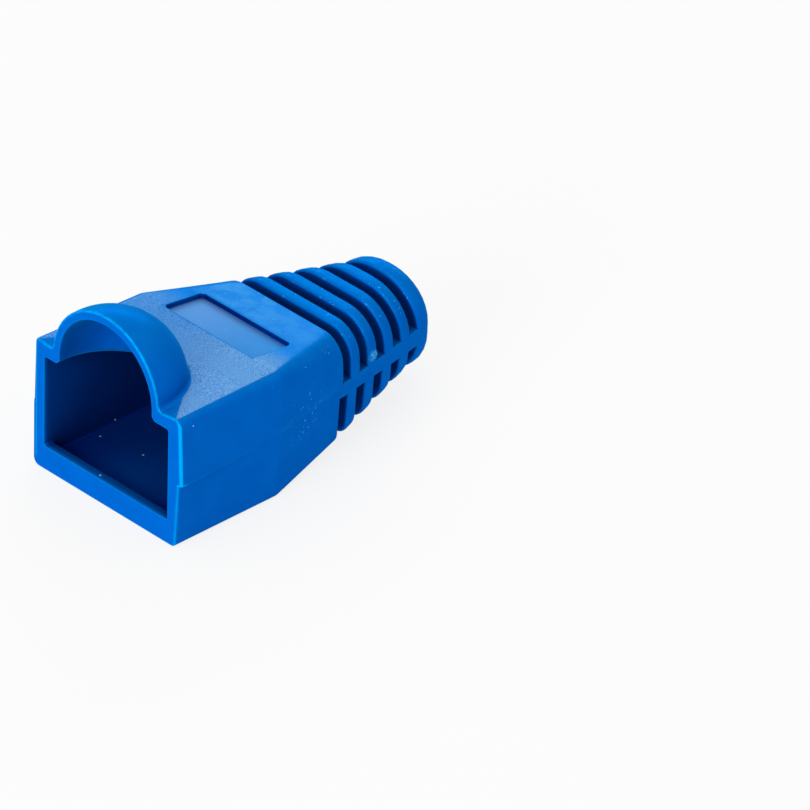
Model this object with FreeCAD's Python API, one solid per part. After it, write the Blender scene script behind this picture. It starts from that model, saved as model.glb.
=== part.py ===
import FreeCAD, Part
import math
import os

# Strain relief boot for a modular plug, one soft moulding, millimetres.
# +X runs from the open mouth to the cable end, +Z is up, the flat underside lies on z = 0
# and the origin is in the middle of the overall length and width.

# ---- driving dimensions: stations along the boot, measured from the mouth plane ----
mouth_x = 0.0
knee_x = 9.12             # sides and underside leave the straight box here
body_end_x = 15.80        # last wall of the box body, the first slot starts here
boot_length = 25.90
collar_length = 1.75      # solid ring behind the last slot
slot_count = 5
slot_width = 0.83

# ---- outer section of the box body ----
parting_z = 4.85          # plane where the two mould halves meet
upper_half_width = 7.25   # upper half, at the parting plane
lower_half_width = 7.13   # lower half, at the parting plane
upper_shift = -0.04       # the two mould halves do not quite line up sideways
lower_shift = 0.14
upper_lean = 0.047        # inward lean of the upper side walls per millimetre of height
lower_lean = 0.062        # inward lean of the lower side walls per millimetre of height
mouth_top_z = 9.78
knee_top_z = 9.66
body_end_top_z = 8.86
body_end_bottom_z = 0.62
body_end_half_width = 5.87
mouth_top_radius = 0.55
knee_top_radius = 0.90
body_end_top_radius = 1.90
box_bottom_radius = 0.30
body_end_bottom_radius = 0.90
mouth_edge_radius = 0.08  # outer edge of the mouth
body_end_edge_radius = 0.18

# ---- ribbed tail and end collar ----
collar_half_width = 4.10
collar_end_half_width = 3.92
collar_top_z = 8.25
collar_bottom_z = 1.28
collar_top_radius = 3.05
collar_bottom_radius = 2.60
collar_lower_step = 0.12  # the lower half of the collar is this much narrower on each side
collar_lower_shift = 0.0
collar_end_radius = 0.95
rib_edge_radius = 0.22
bridge_top_z = 5.47       # the side bridges that join the ribs run between these heights
bridge_bottom_z = 4.17
cable_radius = 2.60
cable_axis_z = 4.78
lower_rim_radius = 2.90   # the lower half of the hole is a little wider at its rim
lower_rim_depth = 0.45

# ---- pocket that takes the back of the plug ----
pocket_half_width = 5.95
pocket_ceiling_z = 8.66
pocket_floor_z = 0.95
pocket_depth = 9.30
pocket_corner_radius = 0.20
sill_top_z = 1.80         # raised sill across the bottom of the mouth
sill_depth = 0.90
sill_edge_radius = 0.35
throat_half_width = 4.55
throat_ceiling_z = 7.62
throat_floor_z = 1.95
throat_corner_radius = 0.40
tail_cavity_gap = 0.05    # the tail's cavity ends this much wider than the cable hole

# ---- hood over the plug's latch ----
hood_length = 5.56
hood_radius = 5.06
hood_axis_z = 9.34
hood_shift = 0.08         # the hood sits a little to the +Y side
hood_hollow_length = 5.00
hood_hollow_radius = 4.44
hood_hollow_axis_z = 9.30
hood_foot_flare = 0.32
hood_base_radius = 0.34

# ---- label recess behind the hood ----
recess_start_x = 8.98
recess_end_x = 12.45
recess_half_length = 4.26
recess_depth = 0.36
recess_corner_radius = 0.14

# ---- construction allowances ----
small_rim_steps = 2       # flats that make up a small rounded rim
end_rim_steps = 4         # flats that make up the rounded end of the collar
cove_steps = 3            # flats that make up the cove at the foot of the hood
overlap = 0.5
overlap_small = 0.02
far = 40.0

collar_x = boot_length - collar_length
slot_pitch = (collar_x - slot_width - body_end_x) / (slot_count - 1)
rib_length = slot_pitch - slot_width
rib_rim_radius = min(rib_edge_radius, 0.35 * rib_length)  # the two rims leave the rib a wall


def vec(x, y, z):
    return FreeCAD.Vector(x, y, z)


def mix(a, b, f):
    return a + (b - a) * f


def block_above(x, z):
    """Large block that keeps everything behind the plane x and above the height z."""
    return Part.makeBox(far, far, far, vec(x, -far / 2, z))


def half_outline(x, half_width, height, lean, radius, side, shift):
    """Closed outline of one mould half in the plane x; side is +1 for the upper half."""
    top_half = half_width - lean * height
    angle = math.atan(lean)
    reach = radius / math.tan((math.pi / 2 + angle) / 2)
    centre_y = top_half - reach
    centre_z = height - radius
    swing = (angle + math.pi / 2) / 2
    outline = [
        (half_width, 0.0),
        (top_half + reach * math.sin(angle), height - reach * math.cos(angle)),
        (centre_y + radius * math.cos(swing), centre_z + radius * math.sin(swing)),
        (centre_y, height),
    ]
    right = [vec(x, shift + y, parting_z + side * z) for y, z in outline]
    left = [vec(x, shift - y, parting_z + side * z) for y, z in outline]
    return Part.Wire([
        Part.makeLine(right[0], right[1]),
        Part.Arc(right[1], right[2], right[3]).toShape(),
        Part.makeLine(right[3], left[3]),
        Part.Arc(left[3], left[2], left[1]).toShape(),
        Part.makeLine(left[1], left[0]),
        Part.makeLine(left[0], right[0]),
    ])


def body_outline(x, side, inset):
    """Outer section of the box body: straight to the knee, then tapering to the tail."""
    f = min(x / knee_x, 1.0)
    g = max((x - knee_x) / (body_end_x - knee_x), 0.0)
    if side > 0:
        top = mix(mix(mouth_top_z, knee_top_z, f), body_end_top_z, g)
        radius = mix(mix(mouth_top_radius, knee_top_radius, f), body_end_top_radius, g)
        width = mix(upper_half_width, body_end_half_width, g)
        return half_outline(x, width - inset, top - parting_z - inset, upper_lean,
                            radius - inset, 1, upper_shift)
    step = upper_half_width - lower_half_width
    bottom = mix(0.0, body_end_bottom_z, g)
    radius = mix(box_bottom_radius, body_end_bottom_radius, g)
    width = mix(lower_half_width, body_end_half_width - step, g)
    return half_outline(x, width - inset, parting_z - bottom - inset, lower_lean,
                        radius - inset, -1, lower_shift)


def tail_outline(x, side, inset):
    """Outer section of the tail: a rounded rectangle at the body, nearly round at the collar."""
    f = min((x - body_end_x) / (collar_x - body_end_x), 1.0)
    g = max((x - collar_x) / (boot_length - collar_x), 0.0)
    width = mix(mix(body_end_half_width, collar_half_width, f), collar_end_half_width, g)
    if side > 0:
        top = mix(body_end_top_z, collar_top_z, f)
        radius = mix(body_end_top_radius, collar_top_radius, f)
        return half_outline(x, width - inset, top - parting_z - inset, upper_lean * (1.0 - f),
                            radius - inset, 1, upper_shift)
    step = mix(upper_half_width - lower_half_width, collar_lower_step, f)
    bottom = mix(body_end_bottom_z, collar_bottom_z, f)
    radius = mix(body_end_bottom_radius, collar_bottom_radius, f)
    shift = mix(lower_shift, collar_lower_shift, f)
    return half_outline(x, width - step - inset, parting_z - bottom - inset,
                        lower_lean * (1.0 - f), radius - inset, -1, shift)


def rounding_stations(radius, steps):
    """Distance behind the end plane and inset of the outline, from the end plane inwards."""
    if radius <= 0.0:
        return [(0.0, 0.0)]
    angles = [math.pi / 2 * k / steps for k in range(steps + 1)]
    return [(radius * (1.0 - math.cos(a)), radius * (1.0 - math.sin(a))) for a in angles]


def length_of_moulding(outline, x0, x1, first_radius, last_radius, last_steps, middle=()):
    """Both mould halves between x0 and x1, with rounded rims at the two ends."""
    stations = [(x0 + x, inset) for x, inset in rounding_stations(first_radius, small_rim_steps)]
    stations += [(x, 0.0) for x in middle]
    last = [(x1 - x, inset) for x, inset in rounding_stations(last_radius, last_steps)]
    stations += reversed(last)
    upper = Part.makeLoft([outline(x, 1, inset) for x, inset in stations], True, True)
    lower = Part.makeLoft([outline(x, -1, inset) for x, inset in stations], True, True)
    return upper.fuse(lower)


def box_body():
    return length_of_moulding(body_outline, mouth_x, body_end_x, 0.0, body_end_edge_radius,
                              small_rim_steps, (knee_x,))


def mouth_edge_waste():
    """Ring that is cut away to round the outer edge of the mouth, clear of the hood."""
    end = 2 * mouth_edge_radius
    plain = length_of_moulding(body_outline, mouth_x, end, 0.0, 0.0, small_rim_steps)
    rounded = length_of_moulding(body_outline, mouth_x, end, mouth_edge_radius, 0.0,
                                 small_rim_steps)
    hood_place = Part.makeCylinder(hood_radius, far, vec(-far / 2, hood_shift, hood_axis_z),
                                   vec(1, 0, 0))
    return plain.cut(rounded).cut(hood_place)


def ribs():
    parts = []
    for index in range(slot_count - 1):
        x0 = body_end_x + slot_pitch * index + slot_width
        x1 = x0 + rib_length
        parts.append(length_of_moulding(tail_outline, x0, x1, rib_rim_radius, rib_rim_radius,
                                        small_rim_steps))
    return parts


def collar():
    return length_of_moulding(tail_outline, collar_x, boot_length, rib_rim_radius,
                              collar_end_radius, end_rim_steps)


def side_bridges():
    """Strips of the tail's side walls that the slots leave standing at the parting plane."""
    start = body_end_x - overlap
    end = collar_x + overlap
    envelope = length_of_moulding(tail_outline, start, end, 0.0, 0.0, small_rim_steps,
                                  (body_end_x, collar_x))
    strip = Part.makeBox(end - start, far, bridge_top_z - bridge_bottom_z,
                         vec(start, -far / 2, bridge_bottom_z))
    return envelope.common(strip)


def rounded_rectangle(x, half_width, bottom, top, radius):
    """Closed rounded rectangle in the plane x, centred sideways."""
    cut = radius * (1.0 - math.sqrt(0.5))
    corners = []
    for side_y, side_z in [(1, 1), (-1, 1), (-1, -1), (1, -1)]:
        z = top if side_z > 0 else bottom
        upright = vec(x, side_y * half_width, z - side_z * radius)
        middle = vec(x, side_y * (half_width - cut), z - side_z * cut)
        level = vec(x, side_y * (half_width - radius), z)
        if side_y == side_z:
            corners.append((upright, middle, level))
        else:
            corners.append((level, middle, upright))
    edges = []
    for index, (start, middle, end) in enumerate(corners):
        edges.append(Part.Arc(start, middle, end).toShape())
        edges.append(Part.makeLine(end, corners[(index + 1) % 4][0]))
    return Part.Wire(edges)


def straight_hollow(x0, x1, bottom):
    """Plain length of the plug pocket between two stations, down to the given floor."""
    return Part.makeLoft([
        rounded_rectangle(x, pocket_half_width, bottom, pocket_ceiling_z, pocket_corner_radius)
        for x in (x0, x1)
    ], True, True)


def plug_pocket():
    """Pocket, the opening above the sill, and the throat that narrows to the cable hole."""
    opening = straight_hollow(mouth_x - overlap, sill_depth + overlap, sill_top_z)
    straight = straight_hollow(sill_depth, pocket_depth, pocket_floor_z)
    pocket_end = rounded_rectangle(pocket_depth, pocket_half_width, pocket_floor_z,
                                   pocket_ceiling_z, pocket_corner_radius)
    throat_end = rounded_rectangle(body_end_x, throat_half_width, throat_floor_z,
                                   throat_ceiling_z, throat_corner_radius)
    end_radius = cable_radius + tail_cavity_gap
    tail_end = rounded_rectangle(collar_x, end_radius + overlap_small, cable_axis_z - end_radius,
                                 cable_axis_z + end_radius, end_radius - overlap_small)
    tapering = Part.makeLoft([pocket_end, throat_end, tail_end], True, True)
    return straight.fuse([opening, tapering])


def sill_rounding():
    """Waste above the inner top edge of the sill, which leaves that edge round."""
    r = sill_edge_radius
    width = 2 * pocket_half_width
    base = vec(sill_depth - r, -pocket_half_width, sill_top_z - r)
    rod = Part.makeCylinder(r, width, base, vec(0, 1, 0))
    return Part.makeBox(r, width, r, base).cut(rod)


def cable_hole():
    """Round hole through the collar, wider at its rim in the lower mould half."""
    hole = Part.makeCylinder(cable_radius, far, vec(collar_x - overlap, 0, cable_axis_z),
                             vec(1, 0, 0))
    rim_x = boot_length - lower_rim_depth
    wide = Part.makeCylinder(lower_rim_radius, far, vec(rim_x, 0, cable_axis_z), vec(1, 0, 0))
    upper_half = block_above(rim_x, parting_z)
    return hole.fuse(wide.cut(upper_half))


def ball_nose(length, radius, axis_z):
    """Short cylinder that starts in front of the mouth plane and ends in half a ball."""
    nose_x = length - radius
    start = mouth_x - overlap
    barrel = Part.makeCylinder(radius, nose_x - start, vec(start, hood_shift, axis_z), vec(1, 0, 0))
    return barrel.fuse(Part.makeSphere(radius, vec(nose_x, hood_shift, axis_z)))


def nose_plan(length, radius, z, grow):
    """Footprint of the same form in the plane z: straight sides and a half round end."""
    start = mouth_x - overlap
    nose_x = length - radius
    y = radius + grow
    corners = [vec(start, hood_shift + y, z), vec(nose_x, hood_shift + y, z),
               vec(nose_x, hood_shift - y, z), vec(start, hood_shift - y, z)]
    return Part.Wire([
        Part.makeLine(corners[0], corners[1]),
        Part.Arc(corners[1], vec(nose_x + y, hood_shift, z), corners[2]).toShape(),
        Part.makeLine(corners[2], corners[3]),
        Part.makeLine(corners[3], corners[0]),
    ])


def hood_foot():
    """Cove that blends the hood into the top of the box and follows the fall of that top."""
    plans = [nose_plan(hood_length, hood_radius, mouth_top_z - overlap, hood_base_radius)]
    for step in range(cove_steps + 1):
        a = math.pi / 2 * step / cove_steps
        rise = hood_base_radius * (1.0 - math.cos(a))
        grow = hood_base_radius * (1.0 - math.sin(a))
        plans.append(nose_plan(hood_length, hood_radius, mouth_top_z + rise, grow))
    foot = Part.makeLoft(plans, True, True)
    fall = math.atan((mouth_top_z - knee_top_z) / (knee_x - mouth_x))
    foot.rotate(vec(mouth_x, 0, mouth_top_z), vec(0, 1, 0), math.degrees(fall))
    return foot


def hood():
    outer = ball_nose(hood_length, hood_radius, hood_axis_z).fuse(hood_foot())
    return outer.common(block_above(mouth_x, pocket_ceiling_z + overlap))


def hood_hollow():
    """Hollow of the hood: a ball nose on an upright neck with a flared foot at the ceiling."""
    upper = ball_nose(hood_hollow_length, hood_hollow_radius, hood_hollow_axis_z).common(
        block_above(mouth_x - far / 2, hood_hollow_axis_z))
    flare_top = pocket_ceiling_z + hood_foot_flare
    neck = Part.makeLoft([
        nose_plan(hood_hollow_length, hood_hollow_radius, pocket_ceiling_z - overlap_small,
                  hood_foot_flare),
        nose_plan(hood_hollow_length, hood_hollow_radius, flare_top, 0.0),
        nose_plan(hood_hollow_length, hood_hollow_radius, hood_hollow_axis_z, 0.0),
    ], True, True)
    return upper.fuse(neck)


def label_recess():
    """Shallow rectangular recess whose floor follows the fall of the top behind the knee."""
    fall = (knee_top_z - body_end_top_z) / (body_end_x - knee_x)
    angle = math.atan(fall)
    span = (recess_end_x - recess_start_x) / math.cos(angle)
    height = 3.0
    block = Part.makeBox(span, 2 * recess_half_length, height,
                         vec(0, -recess_half_length, -recess_depth))
    upright = [e for e in block.Edges if abs(e.BoundBox.ZLength - height) < overlap_small]
    block = block.makeFillet(recess_corner_radius, upright)
    block.rotate(vec(0, 0, 0), vec(0, 1, 0), math.degrees(angle))
    block.translate(vec(recess_start_x, 0, knee_top_z + (knee_x - recess_start_x) * fall))
    return block


def boot():
    solid = box_body().cut(mouth_edge_waste())
    solid = solid.fuse([hood()] + ribs() + [collar(), side_bridges()])
    solid = solid.cut([plug_pocket(), cable_hole(), hood_hollow(), label_recess()])
    solid = solid.cut(sill_rounding())
    solid = solid.removeSplitter()
    solid.translate(vec(-boot_length / 2, 0, 0))
    return solid.Solids[0] if len(solid.Solids) == 1 else solid


os.makedirs("parts", exist_ok=True)
part = boot()
part.exportStep("parts/boot.step")
print("solids", len(part.Solids), "valid", part.isValid(), "volume", round(part.Volume, 2))
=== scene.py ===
from functools import reduce
from math import asin, atan, cos, pi, radians, sin, sqrt
from types import SimpleNamespace

import bmesh
import bpy
import numpy as np
from mathutils import Matrix, Vector, noise


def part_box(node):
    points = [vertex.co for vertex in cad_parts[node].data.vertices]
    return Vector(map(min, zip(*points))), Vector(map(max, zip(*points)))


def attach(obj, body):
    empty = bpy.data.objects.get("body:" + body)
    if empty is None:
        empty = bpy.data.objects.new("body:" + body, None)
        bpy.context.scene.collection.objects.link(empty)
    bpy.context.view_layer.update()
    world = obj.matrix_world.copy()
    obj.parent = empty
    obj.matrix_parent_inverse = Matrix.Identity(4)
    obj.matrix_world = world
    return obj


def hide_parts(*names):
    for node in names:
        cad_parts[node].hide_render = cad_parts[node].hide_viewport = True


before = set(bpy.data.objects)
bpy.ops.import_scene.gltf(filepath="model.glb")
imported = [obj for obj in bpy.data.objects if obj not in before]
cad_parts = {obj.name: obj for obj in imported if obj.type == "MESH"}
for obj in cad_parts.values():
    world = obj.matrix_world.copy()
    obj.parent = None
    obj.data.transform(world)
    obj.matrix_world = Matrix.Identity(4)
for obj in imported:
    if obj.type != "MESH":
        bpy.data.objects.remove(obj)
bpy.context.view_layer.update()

# Strain relief boot for a modular plug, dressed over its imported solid.
# Lengths are millimetres, measured from the mouth plane along the boot, and the
# finished mesh is brought into the frame in metres.

# ---- stations along the boot ----
knee_x = 9.12
body_end_x = 15.80
boot_length = 25.90
collar_x = 24.15
slot_count = 5
slot_width = 0.83
slot_pitch = (collar_x - slot_width - body_end_x) / (slot_count - 1)
rib_length = slot_pitch - slot_width

# ---- outer sections ----
parting_z = 4.85
upper_half_width = 7.25
lower_half_width = 7.13
upper_shift = -0.04
lower_shift = 0.14
upper_lean = 0.047
lower_lean = 0.062
far_upper_wall = 7.11     # the +Y side stands straighter than the -Y side
far_upper_lean = 0.026
far_lower_wall = 7.17
far_lower_lean = 0.0
mouth_top_radius = 0.55
knee_top_radius = 0.90
near_bottom_radius = 0.30
far_bottom_radius = 0.60
mouth_top_z = 9.78
knee_top_z = 9.66
body_end_top_z = 8.86
body_end_bottom_z = 0.62
body_end_half_width = 5.87
collar_half_width = 4.10
collar_end_half_width = 3.92
collar_top_z = 8.39
collar_bottom_z = 1.18
collar_lower_step = -0.03
body_end_top_radii = (1.90, 1.90)      # sideways and upright radius of the corners
body_end_bottom_radii = (0.90, 0.90)
collar_top_radii = (3.75, 3.15)
collar_bottom_radii = (3.60, 3.35)
seam_lip = 0.035          # tiny rounding where the two mould halves meet
seam_fade_start = 1.5     # the mismatch of the halves shows by the mouth and fades out
seam_fade_end = 8.5
seam_far_share = 0.10     # what is left of the rounding there
seam_slope_height = 1.1
seam_slope_at_collar = 0.5
knee_softness = 0.22      # half length of the bend at the knee

# ---- rims: rounding on the side wall and on the top or bottom, for each quarter ----
# quarters in order: upper +Y, upper -Y, lower -Y, lower +Y
mouth_rims = ((0.40, 0.09), (0.27, 0.09), (0.17, 0.05), (0.40, 0.05))
body_end_rims = ((0.16, 0.20), (0.22, 0.20), (0.22, 0.20), (0.16, 0.20))
rib_rims = ((0.20, 0.25), (0.27, 0.25), (0.27, 0.25), (0.20, 0.25))
collar_rims = ((1.10, 1.00), (1.25, 1.00), (1.25, 1.00), (1.10, 1.00))

# ---- inside ----
pocket_half_width = 5.95
pocket_ceiling_z = 8.66
pocket_floor_z = 0.95
pocket_depth = 9.30
pocket_corner_radius = 0.20
sill_top_z = 1.80
sill_depth = 0.90
sill_edge_radius = 0.35
throat_half_width = 4.55
throat_ceiling_z = 7.62
throat_floor_z = 1.95
throat_corner_radius = 0.40
cable_radius = 2.60
cable_axis_z = 4.78
cable_edge = 0.14
lower_rim_radius = 2.86
lower_rim_depth = 0.45
mouth_inner_edge = 0.06   # softening of the mouth's inner edges

# ---- side bridges ----
bridge_top_z = 5.47
bridge_bottom_z = 4.17
bridge_sink = -0.005
bridge_inner_y = 2.0
bridge_edge = 0.14
bridge_overlap = 0.35     # how far a bridge runs into the box and the collar

# ---- hood ----
hood_length = 5.56
hood_radius = 5.06
hood_axis_z = 9.34
hood_shift = 0.08
hood_side_cove = 0.42
hood_rear_cove = 0.13
hood_front_edge = 0.07
hollow_length = 5.00
hollow_radius = 4.44
hollow_axis_z = 9.30
hollow_flare = 0.32
side_dish_depth = 0.17    # the top falls towards the foot of the hood beside the mouth
side_dish_length = 2.4
side_dish_inner = 5.12
side_dish_outer = 6.65
side_dish_softness = 0.06

# ---- label recess, bare ----
recess_start_x = 8.98
recess_end_x = 12.45
recess_half_length = 4.26
recess_depth = 0.36
recess_corner_radius = 0.30
recess_edge = 0.045

# ---- small marks: x, y, z ----
gate_nubs = ((19.03, -5.10, 6.08), (19.03, 5.06, 6.08))
gate_nub_size = (0.34, 0.20, 0.46)
gate_nub_roughness = 0.38
flash_bump = (23.10, -0.35, 8.20)
flash_bump_size = (0.24, 0.95, 0.22)
flash_bump_roughness = 0.10
white_dust = ((1.15, -7.15, 9.05), (0.34, 0.84, 1.80), (4.41, 5.32, 0.95),
              (4.98, 1.77, 0.95), (6.30, 5.95, 1.15),
              (22.35, -0.65, 8.52), (22.55, -1.85, 8.50),
              (11.30, -6.95, 6.60), (12.40, -6.75, 3.00))

# ---- smoothness of the mesh ----
lip_steps = 4
wall_steps = 6
corner_steps = 8
top_steps = 22
rim_steps = 6
cove_steps = 6
hood_steps = 30           # up the hood's ball, and round its nose
hood_turn_steps = 56
hollow_steps = 26
hollow_turn_steps = 48
merge_gap = 0.0008        # points closer than this are one point
melt_gap = 0.0005         # edges shorter than this go
joined_merge_gap = 0.0006   # the same after a union or a cut
joined_melt_gap = 0.0004


def mix(a, b, f):
    return a + (b - a) * f


def in_scene(name, data):
    """New object for a mesh, a lamp or a camera, linked into the scene."""
    made = bpy.data.objects.new(name, data)
    bpy.context.scene.collection.objects.link(made)
    return made


def cleaned(mesh, merge, melt=0.0, outwards=True):
    """Merges points that lie together and turns faces outwards; counts its open edges."""
    form = bmesh.new()
    form.from_mesh(mesh)
    bmesh.ops.remove_doubles(form, verts=form.verts, dist=merge)
    if melt:
        bmesh.ops.dissolve_degenerate(form, edges=form.edges, dist=melt)
    if outwards:
        bmesh.ops.recalc_face_normals(form, faces=form.faces)
    loose = [v for v in form.verts if not v.link_faces]
    bmesh.ops.delete(form, geom=loose, context="VERTS")
    open_edges = sum(1 for e in form.edges if not e.is_manifold)
    form.to_mesh(mesh)
    form.free()
    return open_edges


def new_piece(name, vertices, faces):
    mesh = bpy.data.meshes.new(name)
    mesh.from_pydata(vertices, [], faces)
    cleaned(mesh, merge_gap, melt_gap)
    return in_scene(name, mesh)


def ring_faces(count, rows):
    """Faces between closed rings of points, with a cap at each end."""
    faces = []
    for row in range(rows - 1):
        for k in range(count):
            after = (k + 1) % count
            faces.append((row * count + k, row * count + after,
                          (row + 1) * count + after, (row + 1) * count + k))
    last = (rows - 1) * count
    return faces + [tuple(range(count)), tuple(range(last, last + count))]


def loft(name, rings):
    """Closed solid through closed rings of the same number of points."""
    vertices = [p for ring in rings for p in ring]
    return new_piece(name, vertices, ring_faces(len(rings[0]), len(rings)))


# ---- outer sections ----

def smooth(f):
    f = min(max(f, 0.0), 1.0)
    return f * f * (3 - 2 * f)


def quarter(wall, height, lean, radii, seam):
    """Quarter section from the parting plane to the middle: rows of (y, z, share of cap).

    seam is how far the wall draws in at the parting plane, over what height, and how much
    of that is a slope instead of a small rounding."""
    tilt = atan(lean)
    centre_z = height - radii[1]
    centre_y = wall - lean * centre_z - radii[0] / cos(tilt)
    foot_y = centre_y + radii[0] * cos(tilt)
    foot_z = centre_z + radii[1] * sin(tilt)
    draw_in, seam_height, slope = seam
    seam_height = min(seam_height, 0.7 * foot_z)
    rows = []
    for k in range(lip_steps + 1):
        f = k / lip_steps
        a = pi / 2 * f
        z = seam_height * mix(1 - cos(a), f, slope)
        drawn = draw_in * mix(1 - sin(a), 1 - smooth(f), slope)
        rows.append((wall - lean * z - drawn, 0.003 + z, 0.0))
    start_y, start_z, _ = rows[-1]
    for k in range(1, wall_steps):
        f = k / wall_steps
        rows.append((mix(start_y, foot_y, f), mix(start_z, foot_z, f), 0.0))
    for k in range(corner_steps + 1):
        a = mix(tilt, pi / 2, k / corner_steps)
        rows.append((centre_y + radii[0] * cos(a), centre_z + radii[1] * sin(a),
                     k / corner_steps))
    for k in range(1, top_steps + 1):
        rows.append((centre_y * (1 - k / top_steps), height, 1.0))
    return rows


def section_ring(x, section, rims=None, turn=pi / 2, way=1):
    """Ring of a section at x. With rims it is one ring of a rounded rim, turn from 0 to 90."""
    shrink = 1 - sin(turn)
    back = 1 - cos(turn)
    deepest = max(max(pair) for pair in rims) if rims else 0.0
    quarters = section(x + way * deepest * back)
    points = []
    for index, (side_y, side_z) in enumerate(((1, 1), (-1, 1), (-1, -1), (1, -1))):
        wall, height, lean, radii, seam = quarters[index]
        side_rim, cap_rim = rims[index] if rims else (0.0, 0.0)
        radii = [max(r - (side_rim + cap_rim) / 2 * shrink, 0.04) for r in radii]
        rows = quarter(wall - side_rim * shrink, height - cap_rim * shrink, lean, radii, seam)
        placed = [(x + way * mix(side_rim, cap_rim, share) * back, side_y * y,
                   parting_z + side_z * z) for y, z, share in rows]
        points += placed if index in (0, 2) else placed[::-1][1:]
    return points


def past_knee(x):
    """Share of the way from the knee to the body's end, with a soft start."""
    start = x - knee_x + knee_softness
    reach = 2 * knee_softness
    if start <= 0:
        run = 0.0
    elif start < reach:
        run = start * start / (2 * reach)
    else:
        run = start - knee_softness
    return run / (body_end_x - knee_x)


def pair_mix(a, b, f):
    return (mix(a[0], b[0], f), mix(a[1], b[1], f))


def seam_share(x):
    return smooth((x - seam_fade_start) / (seam_fade_end - seam_fade_start))


def plain_seam():
    return (seam_lip, seam_lip, 0.0)


def faint_seam(x):
    """The rounding below the parting plane, which nearly goes as the mismatch fades."""
    size = seam_lip * mix(1.0, seam_far_share, seam_share(x))
    return (size, size, 0.0)


def faded_seam(x, step):
    """Sharp step of the proud upper half by the mouth, a long slope further back."""
    share = seam_share(x)
    return (mix(seam_lip, step + 0.01, share), mix(seam_lip, seam_slope_height, share), share)


def top_height(x):
    """Height of the body's flat top between the mouth and its end."""
    f = min(max(x, 0.0) / knee_x, 1.0)
    return mix(mix(mouth_top_z, knee_top_z, f), body_end_top_z, past_knee(x))


def body_section(x):
    """Wall distance, height, lean, corner radii and seam of the body's four quarters."""
    f = min(max(x, 0.0) / knee_x, 1.0)
    g = past_knee(x)
    upper = mix(upper_half_width, body_end_half_width, g)
    lower_end = body_end_half_width - (upper_half_width - lower_half_width)
    lower = mix(lower_half_width, lower_end, g)
    top = top_height(x) - parting_z
    bottom = parting_z - mix(0.0, body_end_bottom_z, g)
    top_radii = pair_mix((mix(mouth_top_radius, knee_top_radius, f),) * 2, body_end_top_radii, g)
    near_bottom = pair_mix((near_bottom_radius,) * 2, body_end_bottom_radii, g)
    far_bottom = pair_mix((far_bottom_radius,) * 2, body_end_bottom_radii, g)
    far_upper = mix(far_upper_wall, body_end_half_width + upper_shift, g)
    far_lower = mix(far_lower_wall, lower_end + lower_shift, g)
    return ((far_upper, top, mix(far_upper_lean, upper_lean, g), top_radii, plain_seam()),
            (upper - upper_shift, top, upper_lean, top_radii,
             faded_seam(x, upper - upper_shift - lower + lower_shift)),
            (lower - lower_shift, bottom, lower_lean, near_bottom, faint_seam(x)),
            (far_lower, bottom, mix(far_lower_lean, lower_lean, g), far_bottom, plain_seam()))


def tail_section(x):
    """The same for the tail: a rounded rectangle that turns nearly round at the collar."""
    f = min(max((x - body_end_x) / (collar_x - body_end_x), 0.0), 1.0)
    g = max((x - collar_x) / (boot_length - collar_x), 0.0)
    upper = mix(mix(body_end_half_width, collar_half_width, f), collar_end_half_width, g)
    lower = upper - mix(upper_half_width - lower_half_width, collar_lower_step, f)
    shift = mix(lower_shift, 0.0, f)
    top = mix(body_end_top_z, collar_top_z, f) - parting_z
    bottom = parting_z - mix(body_end_bottom_z, collar_bottom_z, f)
    top_radii = pair_mix(body_end_top_radii, collar_top_radii, f)
    bottom_radii = pair_mix(body_end_bottom_radii, collar_bottom_radii, f)
    step = upper - upper_shift - lower + shift
    sloped = (step + 0.01, mix(seam_slope_height, seam_slope_at_collar, f), 1.0)
    return ((upper + upper_shift, top, upper_lean * (1 - f), top_radii, plain_seam()),
            (upper - upper_shift, top, upper_lean * (1 - f), top_radii, sloped),
            (lower - shift, bottom, lower_lean * (1 - f), bottom_radii, faint_seam(x)),
            (lower + shift, bottom, lower_lean * (1 - f), bottom_radii, plain_seam()))


def wall_place(part, up):
    """Sideways place of a quarter's wall at a distance up from the parting plane."""
    rows = quarter(*part)
    return float(np.interp(up, [row[1] for row in rows], [row[0] for row in rows]))


def side_dish(x, y):
    """How far the top lies below its plane in the triangles beside the hood."""
    across = (side_dish_outer - abs(y - hood_shift)) / (side_dish_outer - side_dish_inner)
    across = min(max(across, 0.0), 1.0)
    fall = across - x / side_dish_length
    soft = side_dish_softness
    return side_dish_depth * 0.5 * (fall + sqrt(fall * fall + soft * soft) - soft * 0.6)


def rim_turns(first, steps=rim_steps):
    """Turns of a rounded rim, rising at a solid's first end and falling at its last."""
    turns = [pi / 2 * k / steps for k in range(steps + 1)]
    return turns if first else turns[::-1]


def box_body():
    rings = [section_ring(0.0, body_section, mouth_rims, turn, 1) for turn in rim_turns(True)]
    stations = list(np.arange(0.55, 4.2, 0.24)) + list(np.arange(4.5, knee_x - 0.4, 0.6))
    stations += [knee_x + knee_softness * t for t in (-1.0, -0.6, -0.2, 0.2, 0.6, 1.0)]
    stations += list(np.arange(knee_x + 0.8, body_end_x - 0.4, 0.7))
    rings += [section_ring(float(x), body_section) for x in stations]
    rings += [section_ring(body_end_x, body_section, body_end_rims, turn, -1)
              for turn in rim_turns(False)]
    dished = [[(x, y, z - max(side_dish(x, y), 0.0) * min(max((z - 9.0) / 0.5, 0.0), 1.0))
               for x, y, z in ring] for ring in rings]
    return loft("box_body", dished)


def collar():
    rings = [section_ring(collar_x, tail_section, rib_rims, turn, 1) for turn in rim_turns(True)]
    rings += [section_ring(boot_length, tail_section, collar_rims, turn, -1)
              for turn in rim_turns(False, 12)]
    return loft("collar", rings)


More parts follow.
